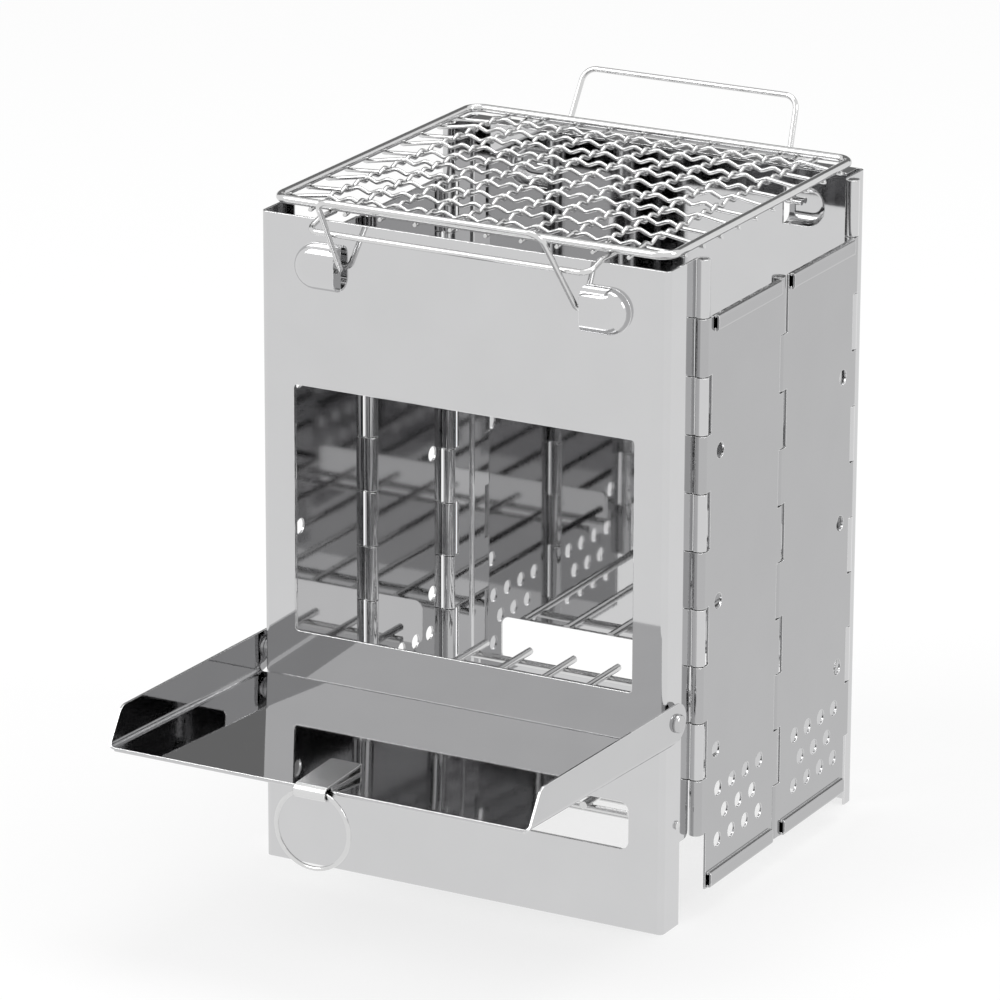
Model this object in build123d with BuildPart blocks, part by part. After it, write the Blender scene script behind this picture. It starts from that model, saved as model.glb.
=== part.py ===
# Folding camping grill: a box of polished sheet with a drop-down fuel tray and a lift-off net.
# Millimetres, +Z up, front towards -Y. The origin is on the floor, at the middle of the
# front panel's bottom edge, half way through its sheet.
import os
from math import cos, radians, sin, sqrt, tan

from build123d import *

os.makedirs("parts", exist_ok=True)

# Overall sizes
panel_height = 250.0
panel_width = 166.4
box_depth = 158.4
sheet = 0.8
bend_radius = 2.0
cut_overrun = 1.0

# Hinges: rolled knuckles on plain pins
knuckle_count = 10
wall_foot_gap = 10.2
knuckle_radius = 2.6
knuckle_end_gap = 0.25
pin_clearance = 0.15
leaf_gap = 0.4
front_pin_setback = 22.4
rear_pin_setback = 14.4

# Feet under the hinges
front_foot_depth = 13.0
rear_foot_depth = 6.5
foot_corner_radius = 3.0

# Openings in the front and back panels
window_width = 139.8
window_bottom = 91.2
window_top = 186.2
window_corner = 1.5
ash_width = 138.0
ash_bottom = 30.5
ash_top = 48.8
ash_corner = 3.5
sill_hem_height = 4.2
back_flange_depth = 9.0
back_flange_end_gap = 3.0

# Ears that carry the handles
ear_width = 17.0
ear_length = 18.0
ear_rise = 5.6
ear_mouth_x = 50.0
ear_drop = 17.4
ear_edge_round = 4.6

# Side walls
wall_hem_height = 6.0
wall_hem_thickness = 2.4
wall_hem_end_gap = 2.0
wall_hem_round_share = 0.49
side_hole_radius = 3.0
side_hole_setback = 10.3
side_hole_middle = 119.4
side_hole_pitch = 57.0
side_hole_count = 3
vent_radius = 2.9
vent_pitch_along = 11.2
vent_pitch_up = 10.0
vent_middle_height = 36.6
vent_middle_setback = 29.2
vent_long_row_count = 4

# Fuel tray
tray_width = 171.0
tray_reach = 105.5
tray_pivot_height = 80.7
tray_pivot_setback = 5.5
tray_closed_gap = 2.5
tray_tilt = 2.2
tray_open_gap = 0.3
tray_arm_radius = 7.2
tray_wall_height = 14.2
tray_wall_slant = 8.0
tray_nose_height = 1.0
tray_nose_round = 5.0
tray_bend_radius = 2.4
tray_hem_depth = 5.0
tray_hem_gap = 0.05

# Rivets and washers
rivet_radius = 2.0
rivet_clearance = 0.12
rivet_head_radius = 3.5
rivet_head_height = 1.9
rivet_crown_radius = 1.5
rivet_tail_radius = 3.0
rivet_tail_height = 1.0
washer_radius = 4.0
washer_play = 0.1

# Clip and pull ring
clip_width = 12.5
clip_leg_length = 22.0
clip_inner_radius = 1.9
clip_foot_length = 2.4
clip_front_rise = 1.9
clip_rear_rise = 3.7
clip_hollow_start = 5.0
ring_outer_diameter = 31.0
ring_wire = 1.6
ring_gap = 0.2

# Handles
handle_wire = 2.2
handle_top_width = 90.0
handle_foot_width = 96.0
handle_length = 39.5
front_handle_lean = 35.0
rear_handle_lean = 25.6
handle_end_length = 8.0
handle_corner = 5.5
handle_end_bend = 2.4
handle_seat_gap = 0.5

# Top net
net_wire = 3.2
net_width = 164.0
net_inset = 4.8
net_corner = 6.0
net_rest_gap = 0.3
net_weld_gap = 0.02
net_seam_gap = 0.001
mesh_wire = 1.7
mesh_wire_count = 10
mesh_pitch_x = 15.0
mesh_pitch_y = 14.0
bracket_wire = 2.2
bracket_span = 114.0
bracket_handle_gap = 0.35
bracket_drop = 2.6
bracket_tail = 3.6
bracket_corner = 4.0
bracket_bend = 1.5

# Charcoal grate
grate_wire = 3.0
grate_rod_count = 8
grate_rod_pitch = 19.3
grate_pivot_height = 39.6
grate_pivot_setback = 10.4
grate_front_overhang = 6.0
grate_rear_gap = 16.0
grate_bar_spacing = 12.0
grate_bar_overhang = 4.0
grate_end_play = 0.8
grate_hole_clearance = 0.12
grate_weld_gap = 0.02

# Places worked out from the sizes above
front_face = -sheet / 2
back_face = front_face + box_depth
half_width = panel_width / 2
ear_height = panel_height - ear_drop
knuckle_length = (panel_height - wall_foot_gap) / (knuckle_count + 1)
hinge_bottom = panel_height - knuckle_count * knuckle_length
wall_top = panel_height - knuckle_length
wall_bottom = wall_foot_gap
pin_x = half_width - sheet + knuckle_radius
front_pin_y = front_face + front_pin_setback
rear_pin_y = back_face - rear_pin_setback
middle_pin_y = (front_pin_y + rear_pin_y) / 2
wall_outer_x = pin_x + knuckle_radius
bore_radius = knuckle_radius - sheet
pin_radius = bore_radius - pin_clearance
leaf_edge = knuckle_radius + leaf_gap
corner_segments = [panel_height - i * knuckle_length for i in range(1, knuckle_count + 1)]
wall_segments = [wall_top - i * knuckle_length for i in range(1, knuckle_count + 1)]
panel_knuckles = corner_segments[0::2]
wall_knuckles = corner_segments[1::2]
front_wall_middle = wall_segments[0::2]
rear_wall_middle = wall_segments[1::2]


def block(low, high, mode=Mode.ADD):
    """A box given by its lowest and highest corners."""
    size = [h - l for l, h in zip(low, high)]
    centre = [(h + l) / 2 for l, h in zip(low, high)]
    with Locations(tuple(centre)):
        Box(size[0], size[1], size[2], mode=mode)


def bar(start, end, radius, mode=Mode.ADD):
    """A round bar or hole from one point to another."""
    axis = Vector(end) - Vector(start)
    with BuildSketch(Plane(origin=start, z_dir=axis)) as section:
        Circle(radius)
    extrude(section.sketch, amount=axis.length, mode=mode)


def bent_wire(points, radii, wire):
    """A round wire along straight runs joined by arcs."""
    with BuildLine() as route:
        FilletPolyline(*points, radius=radii)
    with BuildSketch(Plane(origin=route.line @ 0, z_dir=route.line % 0)) as section:
        Circle(wire / 2)
    sweep(section.sketch, path=route.line)


def knuckles(bottoms, y, side=1):
    """Rolled tubes round a pin, one for each segment that starts at a given height."""
    for low in bottoms:
        start = (side * pin_x, y, low + knuckle_end_gap)
        end = (side * pin_x, y, low + knuckle_length - knuckle_end_gap)
        bar(start, end, knuckle_radius)
    for low in bottoms:
        start = (side * pin_x, y, low)
        bar(start, (side * pin_x, y, low + knuckle_length), bore_radius, Mode.SUBTRACT)


def rounded_channel(face_y, inward, width, depth, radius, mode=Mode.ADD):
    """A full-height block whose two corners at the face are rounded."""
    align = (Align.CENTER, Align.MIN if inward > 0 else Align.MAX)
    with BuildSketch() as section:
        with Locations((0, face_y)):
            Rectangle(width, depth, align=align)
        fillet(vertices().group_by(Axis.Y)[0 if inward > 0 else -1], radius)
    extrude(section.sketch, amount=panel_height, mode=mode)


def panel_shell(face_y, pin_y):
    """A flat panel with two bent side flanges that reach the pins."""
    inward = 1 if pin_y > face_y else -1
    depth = abs(pin_y - face_y)
    rounded_channel(face_y, inward, panel_width, depth, bend_radius)
    inner_width = panel_width - 2 * sheet
    inner_face = face_y + inward * sheet
    rounded_channel(inner_face, inward, inner_width, depth, bend_radius - sheet, Mode.SUBTRACT)


def trim_flanges(face_y, pin_y, foot_depth):
    """Cuts the flanges back beside the walls' knuckles, and to a narrow foot below the hinge."""
    inward = 1 if pin_y > face_y else -1
    beyond = pin_y + inward * sheet
    edge = pin_y - inward * leaf_edge
    foot = face_y + inward * foot_depth
    for side in (-1, 1):
        inner, outer = sorted((side * (half_width - 2 * sheet), side * (half_width + sheet)))
        for low in wall_knuckles:
            y_low, y_high = sorted((edge, beyond))
            block((inner, y_low, low), (outer, y_high, low + knuckle_length), Mode.SUBTRACT)
        y_low, y_high = sorted((foot, beyond))
        block((inner, y_low, -sheet), (outer, y_high, hinge_bottom), Mode.SUBTRACT)
    strip_ends = [
        e
        for e in edges().filter_by(Axis.X)
        if abs(e.center().Z - hinge_bottom) < 0.01 and abs(e.center().Y - edge) < 0.01
    ]
    fillet(strip_ends, min(foot_corner_radius, abs(edge - foot) / 2))


def face_opening(face_y, width, low, high, corner):
    """An opening right through a panel's face."""
    with BuildSketch(Plane.XZ.offset(-(face_y + 2 * sheet))) as outline:
        with Locations((0, (low + high) / 2)):
            RectangleRounded(width, high - low, corner)
    extrude(outline.sketch, amount=4 * sheet, mode=Mode.SUBTRACT)


def sill_hem(face_y, inward):
    """The sheet folded flat behind the sill of the ash opening."""
    y_low, y_high = sorted((face_y + inward * sheet, face_y + inward * (2 * sheet)))
    half = ash_width / 2 - ash_corner
    block((-half, y_low, ash_bottom - sill_hem_height), (half, y_high, ash_bottom))
    roll_y = face_y + inward * sheet
    bar((-half, roll_y, ash_bottom - sheet), (half, roll_y, ash_bottom - sheet), sheet)


def ear_outline(grow, mouth):
    """The ear's half-round outline, straight at its mouth, drawn on the panel's face."""
    radius = ear_width / 2 - grow
    straight = ear_length - ear_width / 2
    with Locations((0, 0)):
        Rectangle(straight + mouth, 2 * radius, align=(Align.MAX, Align.CENTER))
    Circle(radius)


def ear(side, face_y, outward):
    """A dome pressed out of the sheet, with its straight mouth towards the middle."""
    centre_x = ear_mouth_x + ear_length - ear_width / 2
    plane = Plane(
        origin=(side * centre_x, face_y, ear_height),
        x_dir=(side, 0, 0),
        z_dir=(0, outward, 0),
    )
    with BuildPart(mode=Mode.PRIVATE) as dome:
        with BuildSketch(plane):
            ear_outline(0, 0)
        extrude(amount=ear_rise)
        rim = dome.faces().sort_by(Axis.Y)[-1 if outward > 0 else 0].edges()
        mouth_x = side * ear_mouth_x
        fillet([e for e in rim if abs(e.center().X - mouth_x) > 0.1], ear_edge_round)
    with BuildPart(mode=Mode.PRIVATE) as pocket:
        with BuildSketch(plane.offset(-2 * sheet)):
            ear_outline(sheet, cut_overrun)
        extrude(amount=ear_rise + sheet)
        rim = pocket.faces().sort_by(Axis.Y)[-1 if outward > 0 else 0].edges()
        mouth_x = side * (ear_mouth_x - cut_overrun)
        fillet([e for e in rim if abs(e.center().X - mouth_x) > 0.1], ear_edge_round - sheet)
    with BuildPart(mode=Mode.PRIVATE) as window:
        with BuildSketch(plane.offset(-2 * sheet)):
            ear_outline(sheet, 0)
        extrude(amount=2 * sheet)
    add(window.part, mode=Mode.SUBTRACT)
    add(dome.part - pocket.part)


# Front panel
with BuildPart() as front_panel:
    panel_shell(front_face, front_pin_y)
    trim_flanges(front_face, front_pin_y, front_foot_depth)
    for side in (-1, 1):
        knuckles(panel_knuckles, front_pin_y, side)
    face_opening(front_face, window_width, window_bottom, window_top, window_corner)
    face_opening(front_face, ash_width, ash_bottom, ash_top, ash_corner)
    sill_hem(front_face, 1)
    for side in (-1, 1):
        ear(side, front_face, -1)
    pivot_y = front_face + tray_pivot_setback
    bar(
        (-half_width - cut_overrun, pivot_y, tray_pivot_height),
        (half_width + cut_overrun, pivot_y, tray_pivot_height),
        rivet_radius + rivet_clearance,
        Mode.SUBTRACT,
    )
    grate_pivot_y = front_face + grate_pivot_setback
    bar(
        (-half_width - cut_overrun, grate_pivot_y, grate_pivot_height),
        (half_width + cut_overrun, grate_pivot_y, grate_pivot_height),
        grate_wire / 2 + grate_hole_clearance,
        Mode.SUBTRACT,
    )

# Back panel
with BuildPart() as back_panel:
    panel_shell(back_face, rear_pin_y)
    trim_flanges(back_face, rear_pin_y, rear_foot_depth)
    for side in (-1, 1):
        knuckles(panel_knuckles, rear_pin_y, side)
    face_opening(back_face - sheet, ash_width, ash_bottom, ash_top, ash_corner)
    sill_hem(back_face, -1)
    for side in (-1, 1):
        ear(side, back_face, 1)
    flange_half = half_width - back_flange_end_gap
    block(
        (-flange_half, back_face - back_flange_depth, panel_height - sheet),
        (flange_half, back_face - sheet / 2, panel_height),
    )


def wall(corner_y, middle_bottoms):
    """A side wall between a corner pin and the middle pin, with knuckles at both edges."""
    toward = 1 if middle_pin_y > corner_y else -1
    inner_x = wall_outer_x - sheet
    y_low, y_high = sorted((corner_y + toward * leaf_edge, middle_pin_y - toward * leaf_edge))
    block((inner_x, y_low, wall_bottom), (wall_outer_x, y_high, wall_top))
    for low in wall_knuckles:
        a, b = sorted((corner_y, corner_y + toward * leaf_edge))
        block(
            (inner_x, a, low + knuckle_end_gap),
            (wall_outer_x, b, low + knuckle_length - knuckle_end_gap),
        )
    for low in middle_bottoms:
        a, b = sorted((middle_pin_y, middle_pin_y - toward * leaf_edge))
        block(
            (inner_x, a, low + knuckle_end_gap),
            (wall_outer_x, b, low + knuckle_length - knuckle_end_gap),
        )
    hem_low = y_low + wall_hem_end_gap
    hem_high = y_high - wall_hem_end_gap
    hem_x = inner_x + wall_hem_thickness / 2
    for hem_z in (wall_bottom + wall_hem_height / 2, wall_top - wall_hem_height / 2):
        with BuildSketch(Plane.XZ.offset(-hem_high)) as fold:
            with Locations((hem_x, hem_z)):
                RectangleRounded(wall_hem_thickness, wall_hem_height, wall_hem_thickness * wall_hem_round_share)
                RectangleRounded(
                    wall_hem_thickness - 2 * sheet,
                    wall_hem_height - 2 * sheet,
                    (wall_hem_thickness - 2 * sheet) * wall_hem_round_share,
                    mode=Mode.SUBTRACT,
                )
        extrude(fold.sketch, amount=hem_high - hem_low)
    knuckles(wall_knuckles, corner_y)
    knuckles(middle_bottoms, middle_pin_y)
    hole_y = corner_y + toward * side_hole_setback
    for step in range(side_hole_count):
        hole_z = side_hole_middle + (step - (side_hole_count - 1) / 2) * side_hole_pitch
        wall_hole(hole_y, hole_z, side_hole_radius)
    vent_y = corner_y + toward * vent_middle_setback
    long_count = vent_long_row_count
    for row, count in ((-1, long_count), (0, long_count - 1), (1, long_count)):
        for step in range(count):
            hole_y = vent_y + (step - (count - 1) / 2) * vent_pitch_along
            wall_hole(hole_y, vent_middle_height + row * vent_pitch_up, vent_radius)


def wall_hole(y, z, radius):
    """A round hole through a side wall."""
    start = (wall_outer_x - 2 * sheet, y, z)
    bar(start, (wall_outer_x + sheet, y, z), radius, Mode.SUBTRACT)


# Side walls, the left pair mirrored from the right
with BuildPart() as right_front_wall:
    wall(front_pin_y, front_wall_middle)

with BuildPart() as right_rear_wall:
    wall(rear_pin_y, rear_wall_middle)

with BuildPart() as left_front_wall:
    mirror(right_front_wall.part, about=Plane.YZ)

with BuildPart() as left_rear_wall:
    mirror(right_rear_wall.part, about=Plane.YZ)


# Hinge pins, one under each row of knuckles
pin_places = {
    "front": (front_pin_y, hinge_bottom, panel_height),
    "middle": (middle_pin_y, wall_bottom, wall_top),
    "rear": (rear_pin_y, hinge_bottom, panel_height),
}
pins = {}
for place, (pin_y, low, high) in pin_places.items():
    for side_name, side in (("left", -1), ("right", 1)):
        with BuildPart() as pin:
            start = (side * pin_x, pin_y, low + knuckle_end_gap)
            bar(start, (side * pin_x, pin_y, high - knuckle_end_gap), pin_radius)
        pins[f"{side_name}_{place}_hinge_pin"] = pin

# Fuel tray, lying open with its rear edge against the front panel
tray_top = tray_pivot_height - tray_pivot_setback - tray_closed_gap
tray_bottom = tray_top - sheet
tray_front = front_face - tray_reach
tray_rear = front_face - tray_open_gap
tray_half = tray_width / 2
wall_slant_top = tray_bottom + tray_wall_height
tray_axis = Axis((0, pivot_y, tray_pivot_height), (1, 0, 0))
arm_end = pivot_y + tray_arm_radius
trough_half = tray_half - sheet
with BuildPart() as level_tray:
    section_height = tray_pivot_height + tray_arm_radius - tray_bottom
    with BuildSketch(Plane.XZ.offset(-arm_end)) as channel:
        with Locations((0, tray_bottom)):
            Rectangle(tray_width, section_height, align=(Align.CENTER, Align.MIN))
        fillet(channel.vertices().group_by(Axis.Y)[0], tray_bend_radius)
    extrude(amount=arm_end - tray_front)
    with BuildSketch(Plane.XZ.offset(-arm_end)) as trough:
        with Locations((0, tray_top)):
            Rectangle(2 * trough_half, section_height, align=(Align.CENTER, Align.MIN))
        fillet(trough.vertices().group_by(Axis.Y)[0], tray_bend_radius - sheet)
    extrude(amount=arm_end - tray_front, mode=Mode.SUBTRACT)
    block(
        (-trough_half, tray_rear, tray_bottom - cut_overrun),
        (trough_half, arm_end + cut_overrun, tray_top + tray_bend_radius),
        Mode.SUBTRACT,
    )
    with BuildSketch(Plane.YZ.offset(-tray_half - cut_overrun)) as outline:
        with BuildLine():
            Polyline(
                (tray_front, tray_bottom),
                (tray_front, tray_bottom + tray_nose_height),
                (tray_front + tray_wall_slant, wall_slant_top),
                (pivot_y, tray_pivot_height + tray_arm_radius),
                (pivot_y, tray_pivot_height - tray_arm_radius),
                (tray_rear, tray_bottom),
                close=True,
            )
        make_face()
        fillet(outline.vertices().sort_by(Axis.X)[2], tray_nose_round)
        with Locations((pivot_y, tray_pivot_height)):
            Circle(tray_arm_radius)
    extrude(amount=tray_width + 2 * cut_overrun, mode=Mode.INTERSECT)
    hem_low = tray_bottom - sheet - tray_hem_gap
    hem_half = tray_half - tray_bend_radius
    block(
        (-hem_half, tray_front + sheet, hem_low),
        (hem_half, tray_front + tray_hem_depth, tray_bottom - tray_hem_gap),
    )
    roll_z = tray_bottom - tray_hem_gap / 2
    bar((-hem_half, tray_front + sheet, roll_z), (hem_half, tray_front + sheet, roll_z), sheet)
    bar(
        (-tray_half - cut_overrun, pivot_y, tray_pivot_height),
        (tray_half + cut_overrun, pivot_y, tray_pivot_height),
        rivet_radius + rivet_clearance,
        Mode.SUBTRACT,
    )

with BuildPart() as fuel_tray:
    add(level_tray.part.rotate(tray_axis, -tray_tilt))

# Tray rivets, each with a domed head outside and a formed tail inside
washer_thickness = tray_half - sheet - half_width - 2 * washer_play
with BuildPart() as tray_rivets:
    for side in (-1, 1):
        inner = side * (half_width - sheet - washer_play)
        outer = side * (tray_half + washer_play)
        tail = side * (half_width - sheet - washer_play - rivet_tail_height)
        bar(
            (tail, pivot_y, tray_pivot_height),
            (inner, pivot_y, tray_pivot_height),
            rivet_tail_radius,
        )
        bar((inner, pivot_y, tray_pivot_height), (outer, pivot_y, tray_pivot_height), rivet_radius)
        crown = outer + side * rivet_head_height
        bar((outer, pivot_y, tray_pivot_height), (crown, pivot_y, tray_pivot_height), rivet_head_radius)
        crown_edges = edges().filter_by(lambda e: abs(e.center().X - crown) < 0.01)
        fillet(crown_edges, rivet_crown_radius)

with BuildPart() as tray_washers:
    for side in (-1, 1):
        start = side * (half_width + washer_play)
        end = start + side * washer_thickness
        bar((start, pivot_y, tray_pivot_height), (end, pivot_y, tray_pivot_height), washer_radius)
        bar(
            (start, pivot_y, tray_pivot_height),
            (end, pivot_y, tray_pivot_height),
            rivet_radius + rivet_clearance,
            Mode.SUBTRACT,
        )

# Clip folded round the pull ring, with a raised tab on top of the tray and a leg below
clip_outer_radius = clip_inner_radius + sheet
clip_y = tray_front - clip_inner_radius - ring_gap
clip_z = tray_top + clip_front_rise - clip_outer_radius
clip_rear = tray_front + clip_leg_length
clip_slope = (clip_rear_rise - clip_front_rise) / (clip_rear - clip_y)
hollow_y = tray_front + clip_hollow_start
hollow_rise = clip_front_rise + clip_slope * (hollow_y - clip_y) - sheet
under_leg_top = hem_low
with BuildPart() as level_clip:
    with BuildSketch(Plane.YZ.offset(-clip_width / 2)):
        with Locations((clip_y, clip_z)):
            Circle(clip_outer_radius)
        with BuildLine():
            Polyline(
                (clip_y, clip_z + clip_inner_radius),
                (clip_y, clip_z + clip_outer_radius),
                (clip_rear, tray_top + clip_rear_rise),
                (clip_rear, tray_top),
                (tray_front + ring_gap, tray_top),
                (tray_front + ring_gap, clip_z + clip_inner_radius),
                close=True,
            )
        make_face()
        with BuildLine():
            Polyline(
                (hollow_y, tray_top + sheet),
                (clip_rear - sheet, tray_top + sheet),
                (clip_rear - sheet, tray_top + clip_rear_rise - sheet),
                (hollow_y, tray_top + hollow_rise),
                close=True,
            )
        make_face(mode=Mode.SUBTRACT)
        with BuildLine():
            Polyline(
                (clip_y, clip_z - clip_outer_radius),
                (clip_y, clip_z - clip_inner_radius),
                (clip_y + clip_outer_radius, clip_z - clip_inner_radius),
                (tray_front + tray_hem_depth, under_leg_top),
                (tray_front + tray_hem_depth + clip_foot_length, under_leg_top),
                (tray_front + tray_hem_depth + clip_foot_length, under_leg_top - sheet),
                (tray_front + tray_hem_depth, under_leg_top - sheet),
                (clip_y + clip_outer_radius, clip_z - clip_outer_radius),
                close=True,
            )
        make_face()
        with Locations((clip_y, clip_z)):
            Circle(clip_inner_radius, mode=Mode.SUBTRACT)
            Rectangle(
                clip_outer_radius,
                2 * clip_inner_radius,
                align=(Align.MIN, Align.CENTER),
                mode=Mode.SUBTRACT,
            )
    extrude(amount=clip_width)

with BuildPart() as ring_clip:
    add(level_clip.part.rotate(tray_axis, -tray_tilt))

# Pull ring, hanging in the clip
tilt = radians(tray_tilt)
clip_back = clip_y - pivot_y
clip_down = clip_z - tray_pivot_height
hang_y = pivot_y + clip_back * cos(tilt) + clip_down * sin(tilt)
hang_z = tray_pivot_height - clip_back * sin(tilt) + clip_down * cos(tilt)
ring_radius = (ring_outer_diameter - ring_wire) / 2
ring_sag = ring_radius - sqrt(ring_radius**2 - (clip_width / 2) ** 2)
ring_centre_z = hang_z + ring_sag / 2 - ring_radius
with BuildPart() as pull_ring:
    with BuildSketch(Plane(origin=(ring_radius, hang_y, ring_centre_z), z_dir=(0, 0, 1))):
        Circle(ring_wire / 2)
    revolve(axis=Axis((0, hang_y, ring_centre_z), (0, 1, 0)))


front_lean = radians(front_handle_lean)
rear_lean = radians(rear_handle_lean)
handle_seat = ear_rise - sheet - handle_wire / 2 - handle_seat_gap


def handle(face_y, outward, lean):
    """A wire handle that leans outward, with its ends turned into the ears."""
    seat_y = face_y + outward * handle_seat
    lean_y = outward * handle_length * sin(lean)
    lean_z = handle_length * cos(lean)
    foot = handle_foot_width / 2
    top = handle_top_width / 2
    end = foot + handle_end_length
    points = [
        (-end, seat_y, ear_height),
        (-foot, seat_y, ear_height),
        (-top, seat_y + lean_y, ear_height + lean_z),
        (top, seat_y + lean_y, ear_height + lean_z),
        (foot, seat_y, ear_height),
        (end, seat_y, ear_height),
    ]
    radii = [handle_end_bend, handle_corner, handle_corner, handle_end_bend]
    bent_wire(points, radii, handle_wire)


# Handles
with BuildPart() as front_handle:
    handle(front_face, -1, front_lean)

with BuildPart() as rear_handle:
    handle(back_face, 1, rear_lean)

# Top net: frame wire, mesh and two bracket wires that rest on the panels' top edges
arm_z = panel_height + net_rest_gap + bracket_wire / 2
net_z = arm_z + bracket_wire / 2 + net_wire / 2 + net_weld_gap
net_front = front_face + net_inset
net_rear = back_face - net_inset
net_half = (net_width - net_wire) / 2
net_middle = (net_front + net_rear) / 2
with BuildPart() as net_frame:
    with BuildLine(Plane.XY.offset(net_z)):
        frame_path = FilletPolyline(
            (0, net_front),
            (net_half, net_front),
            (net_half, net_rear),
            (-net_half, net_rear),
            (-net_half, net_front),
            (-net_seam_gap, net_front),
            radius=net_corner,
        )
    with BuildSketch(Plane(origin=frame_path @ 0, z_dir=frame_path % 0)):
        Circle(net_wire / 2)
    sweep(path=frame_path)

mesh_length_x = 2 * net_half - net_wire - 2 * net_weld_gap
mesh_length_y = net_rear - net_front - net_wire - 2 * net_weld_gap
mesh_corner = net_corner - net_wire / 2
with BuildPart() as net_mesh:
    with BuildSketch(Plane.XY.offset(net_z - mesh_wire / 2)):
        with Locations((0, net_middle)):
            RectangleRounded(mesh_length_x, mesh_length_y, mesh_corner)
            RectangleRounded(
                mesh_length_x - 2 * mesh_wire,
                mesh_length_y - 2 * mesh_wire,
                mesh_corner - mesh_wire,
                mode=Mode.SUBTRACT,
            )
            with GridLocations(mesh_pitch_x, 0, mesh_wire_count, 1):
                Rectangle(mesh_wire, mesh_length_y)
            with GridLocations(0, mesh_pitch_y, 1, mesh_wire_count):
                Rectangle(mesh_length_x, mesh_wire)
    extrude(amount=mesh_wire)


bracket_low_z = arm_z - bracket_drop


def bracket(face_y, outward, lean):
    """A bracket wire: two arms over the panel's edge, joined by a bar behind the handle's legs."""
    leg_reach = handle_seat + (bracket_low_z - ear_height) * tan(lean)
    behind_leg = ((handle_wire + bracket_wire) / 2 + bracket_handle_gap) / cos(lean)
    half = bracket_span / 2
    tail_y = face_y - outward * (net_inset + bracket_tail)
    bend_y = face_y + outward * bracket_wire
    bar_y = face_y + outward * (leg_reach - behind_leg)
    points = [
        (-half, tail_y, arm_z),
        (-half, bend_y, arm_z),
        (-half, bar_y, bracket_low_z),
        (half, bar_y, bracket_low_z),
        (half, bend_y, arm_z),
        (half, tail_y, arm_z),
    ]
    radii = [bracket_bend, bracket_corner, bracket_corner, bracket_bend]
    bent_wire(points, radii, bracket_wire)


with BuildPart() as front_bracket:
    bracket(front_face, -1, front_lean)

with BuildPart() as rear_bracket:
    bracket(back_face, 1, rear_lean)

# Charcoal grate: rods front to back on four cross bars, the first of which is its pivot
rod_z = grate_pivot_height + grate_wire + grate_weld_gap
rod_front = grate_pivot_y - grate_front_overhang
rod_rear = back_face - grate_rear_gap
rod_span = (grate_rod_count - 1) * grate_rod_pitch
with BuildPart() as grate_rods:
    for step in range(grate_rod_count):
        rod_x = step * grate_rod_pitch - rod_span / 2
        bar((rod_x, rod_front, rod_z), (rod_x, rod_rear, rod_z), grate_wire / 2)

bar_half = rod_span / 2 + grate_bar_overhang
rear_bar_y = rod_rear - grate_front_overhang
bar_places = [
    (grate_pivot_y, half_width + grate_end_play),
    (grate_pivot_y + grate_bar_spacing, bar_half),
    (rear_bar_y - grate_bar_spacing, bar_half),
    (rear_bar_y, bar_half),
]
with BuildPart() as grate_cross_bars:
    for bar_y, half in bar_places:
        bar((-half, bar_y, grate_pivot_height), (half, bar_y, grate_pivot_height), grate_wire / 2)

pieces = {
    "front_panel": front_panel,
    "back_panel": back_panel,
    "right_front_wall": right_front_wall,
    "right_rear_wall": right_rear_wall,
    "left_front_wall": left_front_wall,
    "left_rear_wall": left_rear_wall,
    "fuel_tray": fuel_tray,
    "tray_rivets": tray_rivets,
    "tray_washers": tray_washers,
    "ring_clip": ring_clip,
    "pull_ring": pull_ring,
    "front_handle": front_handle,
    "rear_handle": rear_handle,
    "net_frame": net_frame,
    "net_mesh": net_mesh,
    "front_bracket": front_bracket,
    "rear_bracket": rear_bracket,
    "grate_rods": grate_rods,
    "grate_cross_bars": grate_cross_bars,
}
pieces.update(pins)
for name, piece in pieces.items():
    piece.part.label = name
    export_step(piece.part, f"parts/{name}.step")
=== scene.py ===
from math import asin, cos, pi, radians, sin

import bpy
from mathutils import Matrix, Vector


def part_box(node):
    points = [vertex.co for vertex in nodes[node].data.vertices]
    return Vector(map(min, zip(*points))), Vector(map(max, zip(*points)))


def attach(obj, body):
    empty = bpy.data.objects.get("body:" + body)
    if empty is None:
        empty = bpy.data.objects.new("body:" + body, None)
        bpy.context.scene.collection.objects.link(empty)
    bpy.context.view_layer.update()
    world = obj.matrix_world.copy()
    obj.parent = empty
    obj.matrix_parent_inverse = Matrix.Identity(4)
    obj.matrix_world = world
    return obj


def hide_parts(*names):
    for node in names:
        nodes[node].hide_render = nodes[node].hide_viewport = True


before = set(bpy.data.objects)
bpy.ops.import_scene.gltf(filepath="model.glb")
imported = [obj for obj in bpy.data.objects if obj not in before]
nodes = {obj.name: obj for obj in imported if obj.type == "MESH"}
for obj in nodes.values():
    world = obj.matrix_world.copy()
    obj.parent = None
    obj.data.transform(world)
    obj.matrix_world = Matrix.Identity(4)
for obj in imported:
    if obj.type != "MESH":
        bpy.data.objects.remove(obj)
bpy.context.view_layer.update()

# Camera at the photograph's viewing angle, in metres and degrees
CAMERA_PLACE = (1.045654, -1.893699, 0.864099)
CAMERA_AZIMUTH = 29.1934
CAMERA_ELEVATION = 18.3663
CAMERA_LENS = 227.2
CAMERA_SENSOR = 36.0
CAMERA_SHIFT_X = 0.0679
CAMERA_SHIFT_Y = 0.0182

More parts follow.
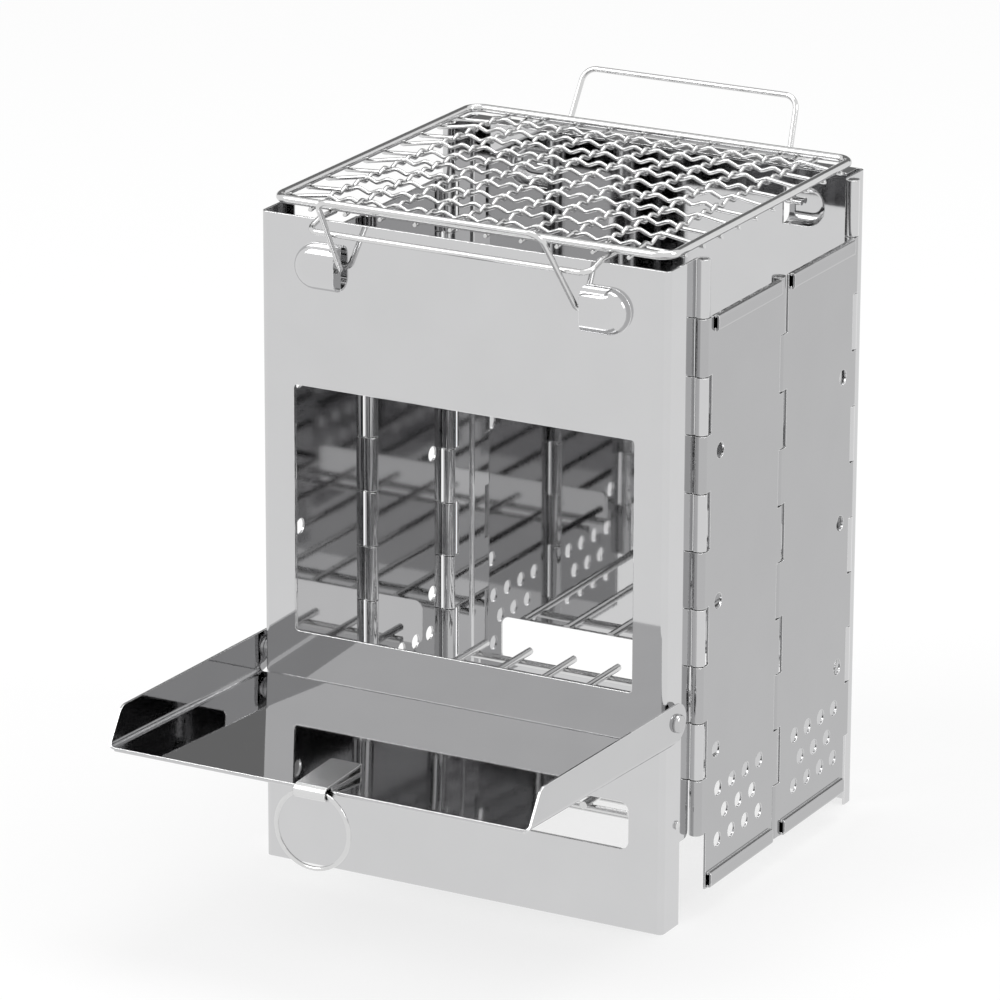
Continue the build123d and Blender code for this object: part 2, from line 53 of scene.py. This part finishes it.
# Studio, with each lamp's place, side and power
WHITE = (1.0, 1.0, 1.0, 1.0)
FLOOR_SIZE = 8.0
FLOOR_COLOUR = (0.95, 0.95, 0.95, 1.0)
FLOOR_SEEN_WHITE = 0.72
WORLD_LIGHT = 0.60
LAMPS = {
    "key_softbox": ((-1.5, -1.6, 2.2), 1.6, 31.0),
    "side_softbox": ((2.4, 0.4, 1.5), 1.0, 14.0),
    "top_softbox": ((0.2, 0.6, 2.6), 1.4, 19.0),
}
LAMP_AIM = (0.0, 0.05, 0.12)
FLAG_DISTANCE = 2.6
FLAG_WIDTH = 5.0
FLAG_BOTTOM = 0.62
FLAG_TOP = 2.6
FLAG_SHADE = 0.20

# Steel, with the scale, detail and stretch of each noise, and heights in metres
UPRIGHT = (1.0, 1.0, 0.04)
CROSSWAYS = (0.04, 1.0, 1.0)
EVEN = (1.0, 1.0, 1.0)
# Painted edge highlight colours, laid on the sharp edges of the steel
GLINT = (0.92, 0.92, 0.92)
SOFT_GLINT = (0.75, 0.75, 0.75)
STEEL_IOR = 2.5
EDGE_SAMPLES = 4
EDGE_RADIUS = 0.00035
EDGE_GAIN = 1.1
CLOUD_NOISE = (38.0, 3.0, EVEN)
CLOUD_DARK = 0.965
CLOUD_LIGHT = 1.03
SMEAR_NOISE = (14.0, 5.0, (1.0, 1.0, 0.35))
SMEAR_LOW = 0.6
SMEAR_HIGH = 1.5
BRUSH_SCALE = 900.0
BRUSH_DETAIL = 2.0
BRUSH_HEIGHT = 0.00002
RIPPLE_NOISE = (9.0, 1.0, (1.0, 1.0, 0.6))
RIPPLE_HEIGHT = 0.002

# Each finish: colour, painted edge highlight colour, roughness, brushing direction, brushing strength,
# ripple strength
FINISHES = {
    "panel_sheet": ((0.595, 0.595, 0.60), GLINT, 0.035, UPRIGHT, 0.10, 0.12),
    # The walls are the panels' steel with painted shade: a darker colour for the dimmer light that falls
    # on them
    "wall_sheet_painted_shade": ((0.425, 0.425, 0.43), GLINT, 0.04, UPRIGHT, 0.10, 0.12),
    "tray_sheet": ((0.53, 0.53, 0.535), GLINT, 0.035, CROSSWAYS, 0.10, 0.10),
    "clip_sheet": ((0.70, 0.70, 0.70), GLINT, 0.22, EVEN, 0.5, 0.4),
    "hinge_steel": ((0.34, 0.34, 0.345), SOFT_GLINT, 0.16, UPRIGHT, 0.3, 0.05),
    "bright_wire": ((0.64, 0.64, 0.64), GLINT, 0.10, CROSSWAYS, 0.25, 0.05),
    "rivet_steel": ((0.50, 0.50, 0.505), GLINT, 0.12, EVEN, 0.3, 0.05),
}

# CAD nodes by finish; the hinge pins are found by name
FINISH_NODES = {
    "panel_sheet": ("front_panel", "back_panel"),
    # The walls take the darker steel with painted shade
    "wall_sheet_painted_shade": ("right_front_wall", "right_rear_wall", "left_front_wall", "left_rear_wall"),
    "tray_sheet": ("fuel_tray",),
    "clip_sheet": ("ring_clip",),
    "bright_wire": (
        "pull_ring",
        "front_handle",
        "rear_handle",
        "net_frame",
        "net_mesh",
        "front_bracket",
        "rear_bracket",
        "grate_rods",
        "grate_cross_bars",
    ),
    "rivet_steel": ("tray_rivets", "tray_washers"),
    "hinge_steel": tuple(name for name in nodes if name.endswith("hinge_pin")),
}

# Top net weave
WEAVE_WIRE = 0.0016
WEAVE_ROUNDNESS = 3
WEAVE_COUNT = 10
WEAVE_PITCH_X = 0.0144
WEAVE_PITCH_Y = 0.0140
WEAVE_SAMPLES = 18
WEAVE_BENDS = 3
WEAVE_RISE = 0.00082
WEAVE_POINT = 0.90
WEAVE_EDGE_DROP = 0.0009
WEAVE_CROWN = 0.0016
NET_FRAME_WIRE = 0.0032
HOOK_START = -112.0
HOOK_END = -66.0
HOOK_STEPS = 4


def add_object(name, data):
    """An object in the scene."""
    item = bpy.data.objects.new(name, data)
    bpy.context.scene.collection.objects.link(item)
    return item


def empty_tree(owner):
    """The node tree of a world or material, with nothing in it."""
    owner.use_nodes = True
    owner.node_tree.nodes.clear()
    return owner.node_tree


def higher(tree, first, second):
    """The higher of two values."""
    node = tree.nodes.new("ShaderNodeMath")
    node.operation = "MAXIMUM"
    tree.links.new(first, node.inputs[0])
    tree.links.new(second, node.inputs[1])
    return node.outputs[0]


def flat_card(name, corners, material):
    """A flat four-cornered object."""
    mesh = bpy.data.meshes.new(name)
    mesh.from_pydata(corners, [], [(0, 1, 2, 3)])
    mesh.materials.append(material)
    return add_object(name, mesh)


def look_matrix(place, azimuth, elevation):
    """The camera's matrix from its place and its two angles."""
    a = radians(azimuth)
    e = radians(elevation)
    right = Vector((cos(a), sin(a), 0))
    ahead = Vector((-sin(a) * cos(e), cos(a) * cos(e), -sin(e)))
    up = right.cross(ahead)
    turn = Matrix((right, up, -ahead)).transposed().to_4x4()
    return Matrix.Translation(Vector(place)) @ turn


def make_camera():
    """The camera that frames the object as the photograph does."""
    data = bpy.data.cameras.new("photo_camera")
    data.sensor_width = CAMERA_SENSOR
    data.lens = CAMERA_LENS
    data.shift_x = CAMERA_SHIFT_X
    data.shift_y = CAMERA_SHIFT_Y
    data.dof.use_dof = False
    camera = add_object("photo_camera", data)
    camera.matrix_world = look_matrix(CAMERA_PLACE, CAMERA_AZIMUTH, CAMERA_ELEVATION)
    bpy.context.scene.camera = camera


def make_world():
    """White to the camera and in reflections, and a softer level as light."""
    world = bpy.data.worlds.new("studio_world")
    bpy.context.scene.world = world
    tree = empty_tree(world)
    path = tree.nodes.new("ShaderNodeLightPath")
    seen = higher(tree, path.outputs["Is Camera Ray"], path.outputs["Is Glossy Ray"])
    any_ray = higher(tree, seen, path.outputs["Is Transmission Ray"])
    strength = tree.nodes.new("ShaderNodeMapRange")
    strength.inputs["To Min"].default_value = WORLD_LIGHT
    strength.inputs["To Max"].default_value = 1.0
    light = tree.nodes.new("ShaderNodeBackground")
    light.inputs["Color"].default_value = WHITE
    out = tree.nodes.new("ShaderNodeOutputWorld")
    tree.links.new(any_ray, strength.inputs["Value"])
    tree.links.new(strength.outputs[0], light.inputs["Strength"])
    tree.links.new(light.outputs[0], out.inputs["Surface"])


def make_lamp(name, place, size, power):
    """A square softbox that points at the object."""
    data = bpy.data.lights.new(name, "AREA")
    data.shape = "SQUARE"
    data.size = size
    data.energy = power
    lamp = add_object(name, data)
    lamp.location = place
    toward = Vector(LAMP_AIM) - Vector(place)
    lamp.rotation_euler = toward.to_track_quat("-Z", "Y").to_euler()


def make_floor():
    """A plain pale floor that keeps the object's shadow."""
    half = FLOOR_SIZE / 2
    corners = [(-half, -half, 0), (half, -half, 0), (half, half, 0), (-half, half, 0)]
    floor = flat_card("studio_floor", corners, floor_finish())


def floor_finish():
    """A pale floor, white in reflections and nearly white to the camera, that keeps its shadow."""
    material = bpy.data.materials.new("studio_floor")
    tree = empty_tree(material)
    link = tree.links.new
    card = tree.nodes.new("ShaderNodeBsdfDiffuse")
    card.inputs["Color"].default_value = FLOOR_COLOUR
    white = tree.nodes.new("ShaderNodeEmission")
    white.inputs["Color"].default_value = WHITE
    white.inputs["Strength"].default_value = 1.0
    path = tree.nodes.new("ShaderNodeLightPath")
    seen = tree.nodes.new("ShaderNodeMath")
    seen.operation = "MULTIPLY"
    seen.inputs[1].default_value = FLOOR_SEEN_WHITE
    link(path.outputs["Is Camera Ray"], seen.inputs[0])
    mirrored = higher(tree, path.outputs["Is Glossy Ray"], path.outputs["Is Transmission Ray"])
    mix = tree.nodes.new("ShaderNodeMixShader")
    link(higher(tree, seen.outputs[0], mirrored), mix.inputs["Fac"])
    link(card.outputs[0], mix.inputs[1])
    link(white.outputs[0], mix.inputs[2])
    out = tree.nodes.new("ShaderNodeOutputMaterial")
    link(mix.outputs[0], out.inputs["Surface"])
    return material


def make_flag():
    """A dark studio card beyond the object, which the camera sees only in the metal's reflections."""
    a = radians(CAMERA_AZIMUTH)
    middle = Vector((-sin(a), cos(a), 0)) * FLAG_DISTANCE
    side = Vector((cos(a), sin(a), 0)) * (FLAG_WIDTH / 2)
    bottom = Vector((0, 0, FLAG_BOTTOM))
    top = Vector((0, 0, FLAG_TOP))
    corners = [middle - side + bottom, middle + side + bottom, middle + side + top, middle - side + top]
    material = bpy.data.materials.new("studio_flag")
    tree = empty_tree(material)
    glow = tree.nodes.new("ShaderNodeEmission")
    glow.inputs["Color"].default_value = (FLAG_SHADE, FLAG_SHADE, FLAG_SHADE, 1.0)
    out = tree.nodes.new("ShaderNodeOutputMaterial")
    tree.links.new(glow.outputs[0], out.inputs["Surface"])
    flag = flat_card("studio_flag", corners, material)
    flag.visible_camera = False
    flag.visible_diffuse = False
    flag.visible_shadow = False


def noise(tree, scale, detail, stretch):
    """A noise texture on the object's own coordinates, scaled apart along each axis."""
    place = tree.nodes.new("ShaderNodeTexCoord")
    mapping = tree.nodes.new("ShaderNodeMapping")
    mapping.inputs["Scale"].default_value = stretch
    texture = tree.nodes.new("ShaderNodeTexNoise")
    texture.inputs["Scale"].default_value = scale
    texture.inputs["Detail"].default_value = detail
    tree.links.new(place.outputs["Object"], mapping.inputs["Vector"])
    tree.links.new(mapping.outputs["Vector"], texture.inputs["Vector"])
    return texture.outputs["Fac"]


def spread(tree, value, low, high):
    """Maps a 0 to 1 value between two limits."""
    node = tree.nodes.new("ShaderNodeMapRange")
    node.inputs["To Min"].default_value = low
    node.inputs["To Max"].default_value = high
    tree.links.new(value, node.inputs["Value"])
    return node.outputs[0]


def blend_colour(tree, mask, first, second):
    """A colour between two, by a mask."""
    node = tree.nodes.new("ShaderNodeMix")
    node.data_type = "RGBA"
    node.inputs["A"].default_value = first
    node.inputs["B"].default_value = second
    tree.links.new(mask, node.inputs["Factor"])
    return node.outputs["Result"]


def edge_mask(tree, radius, gain):
    """High where the surface turns sharply, with the softened normal that goes with it."""
    bevel = tree.nodes.new("ShaderNodeBevel")
    bevel.samples = EDGE_SAMPLES
    bevel.inputs["Radius"].default_value = radius
    shape = tree.nodes.new("ShaderNodeNewGeometry")
    apart = tree.nodes.new("ShaderNodeVectorMath")
    apart.operation = "DISTANCE"
    glint_node = tree.nodes.new("ShaderNodeMath")
    glint_node.operation = "MULTIPLY"
    glint_node.use_clamp = True
    glint_node.inputs[1].default_value = gain
    tree.links.new(bevel.outputs["Normal"], apart.inputs[0])
    tree.links.new(shape.outputs["Normal"], apart.inputs[1])
    tree.links.new(apart.outputs["Value"], glint_node.inputs[0])
    return glint_node.outputs[0], bevel.outputs["Normal"]


def bump(tree, height, normal, strength, distance):
    """A normal with a height pattern laid over another normal."""
    node = tree.nodes.new("ShaderNodeBump")
    node.inputs["Strength"].default_value = strength
    node.inputs["Distance"].default_value = distance
    tree.links.new(height, node.inputs["Height"])
    tree.links.new(normal, node.inputs["Normal"])
    return node.outputs["Normal"]


def metal(name, shade, edge_glint_colour, rough, brush, brush_depth, ripple_depth):
    """Bright steel with fine brushing, slow ripples, uneven polish and a painted highlight that lightens
    the sharp edges.
    """
    material = bpy.data.materials.new(name)
    material.use_nodes = True
    tree = material.node_tree
    shader = tree.nodes["Principled BSDF"]
    shader.inputs["Metallic"].default_value = 1.0
    shader.inputs["IOR"].default_value = STEEL_IOR
    link = tree.links.new

    # Painted highlight: the sharp edges get the lighter edge colour, which stands in for their glint
    painted_glint_mask, soft_normal = edge_mask(tree, EDGE_RADIUS, EDGE_GAIN)
    dark = tuple(c * CLOUD_DARK for c in shade) + (1.0,)
    light = tuple(c * CLOUD_LIGHT for c in shade) + (1.0,)
    body = blend_colour(tree, noise(tree, *CLOUD_NOISE), dark, light)
    edges = tree.nodes.new("ShaderNodeMix")
    edges.data_type = "RGBA"
    edges.inputs["B"].default_value = tuple(edge_glint_colour) + (1.0,)
    link(body, edges.inputs["A"])
    link(painted_glint_mask, edges.inputs["Factor"])
    link(edges.outputs["Result"], shader.inputs["Base Color"])

    polish = spread(tree, noise(tree, *SMEAR_NOISE), rough * SMEAR_LOW, rough * SMEAR_HIGH)
    link(polish, shader.inputs["Roughness"])

    lines = noise(tree, BRUSH_SCALE, BRUSH_DETAIL, brush)
    brushed = bump(tree, lines, soft_normal, brush_depth, BRUSH_HEIGHT)
    rippled = bump(tree, noise(tree, *RIPPLE_NOISE), brushed, ripple_depth, RIPPLE_HEIGHT)
    link(rippled, shader.inputs["Normal"])
    return material


def paint_nodes(finishes):
    """Gives every CAD node its finish, in the material slot it already has."""
    for finish, names in FINISH_NODES.items():
        for name in names:
            nodes[name].material_slots[0].material = finishes[finish]


def crimp(step, phase):
    """Height of a crimped wire at a step along it: three sloped bends to a cell, one on each crossing."""
    turn = sin(WEAVE_BENDS * pi * (step + 0.5) + phase * pi)
    return WEAVE_RISE * asin(WEAVE_POINT * turn) / asin(WEAVE_POINT)


def crown(along, across):
    """How far the weave stands above the frame's middle: low at the edges and highest in the centre."""
    return WEAVE_CROWN * (1 - along**2) * (1 - across**2) - WEAVE_EDGE_DROP


def weave_path(start, end, pitch, phase, across):
    """A crimped wire's distances along its run and its heights, with both ends bent under the frame."""
    reach = (NET_FRAME_WIRE + WEAVE_WIRE) / 2
    middle = (start + end) / 2
    half = (end - start) / 2
    first = middle - pitch * (WEAVE_COUNT - 1) / 2
    sweep = HOOK_END - HOOK_START
    angles = [radians(HOOK_START + sweep * i / HOOK_STEPS) for i in range(HOOK_STEPS + 1)]
    points = [(start - reach * cos(a), reach * sin(a)) for a in reversed(angles)]
    for i in range(WEAVE_SAMPLES * (WEAVE_COUNT - 1) + 1):
        step = i / WEAVE_SAMPLES
        place = first + step * pitch
        points.append((place, crimp(step, phase) + crown((place - middle) / half, across)))
    points.extend((end + reach * cos(a), reach * sin(a)) for a in angles)
    return points


def add_spline(curve, points):
    """One open wire in a curve object."""
    spline = curve.splines.new("POLY")
    spline.points.add(len(points) - 1)
    for target, point in zip(spline.points, points):
        target.co = (point[0], point[1], point[2], 1.0)
    spline.use_smooth = True


def make_weave(finish):
    """The net's crimped wires, woven over and under each other, with their ends under the frame."""
    low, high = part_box("net_frame")
    wire_r = NET_FRAME_WIRE / 2
    level = (low.z + high.z) / 2
    x_low, x_high = low.x + wire_r, high.x - wire_r
    y_low, y_high = low.y + wire_r, high.y - wire_r
    curve = bpy.data.curves.new("net_weave", "CURVE")
    curve.dimensions = "3D"
    curve.bevel_depth = WEAVE_WIRE / 2
    curve.bevel_resolution = WEAVE_ROUNDNESS
    curve.use_fill_caps = True
    half = (WEAVE_COUNT - 1) / 2
    for i in range(WEAVE_COUNT):
        x = (x_low + x_high) / 2 + (i - half) * WEAVE_PITCH_X
        across = (i - half) * WEAVE_PITCH_X / ((x_high - x_low) / 2)
        path = weave_path(y_low, y_high, WEAVE_PITCH_Y, i % 2, across)
        add_spline(curve, [(x, along, level + rise) for along, rise in path])
    for i in range(WEAVE_COUNT):
        y = (y_low + y_high) / 2 + (i - half) * WEAVE_PITCH_Y
        across = (i - half) * WEAVE_PITCH_Y / ((y_high - y_low) / 2)
        path = weave_path(x_low, x_high, WEAVE_PITCH_X, (i + 1) % 2, across)
        add_spline(curve, [(along, y, level + rise) for along, rise in path])
    weave = add_object("net_weave", curve)
    curve.materials.append(finish)
    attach(weave, "net")
    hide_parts("net_mesh")


bpy.context.scene.view_settings.view_transform = "Standard"
make_camera()
make_world()
make_floor()
make_flag()
for lamp_name, (lamp_place, lamp_size, lamp_power) in LAMPS.items():
    make_lamp(lamp_name, lamp_place, lamp_size, lamp_power)
finishes = {name: metal(name, *values) for name, values in FINISHES.items()}
paint_nodes(finishes)
make_weave(finishes["bright_wire"])
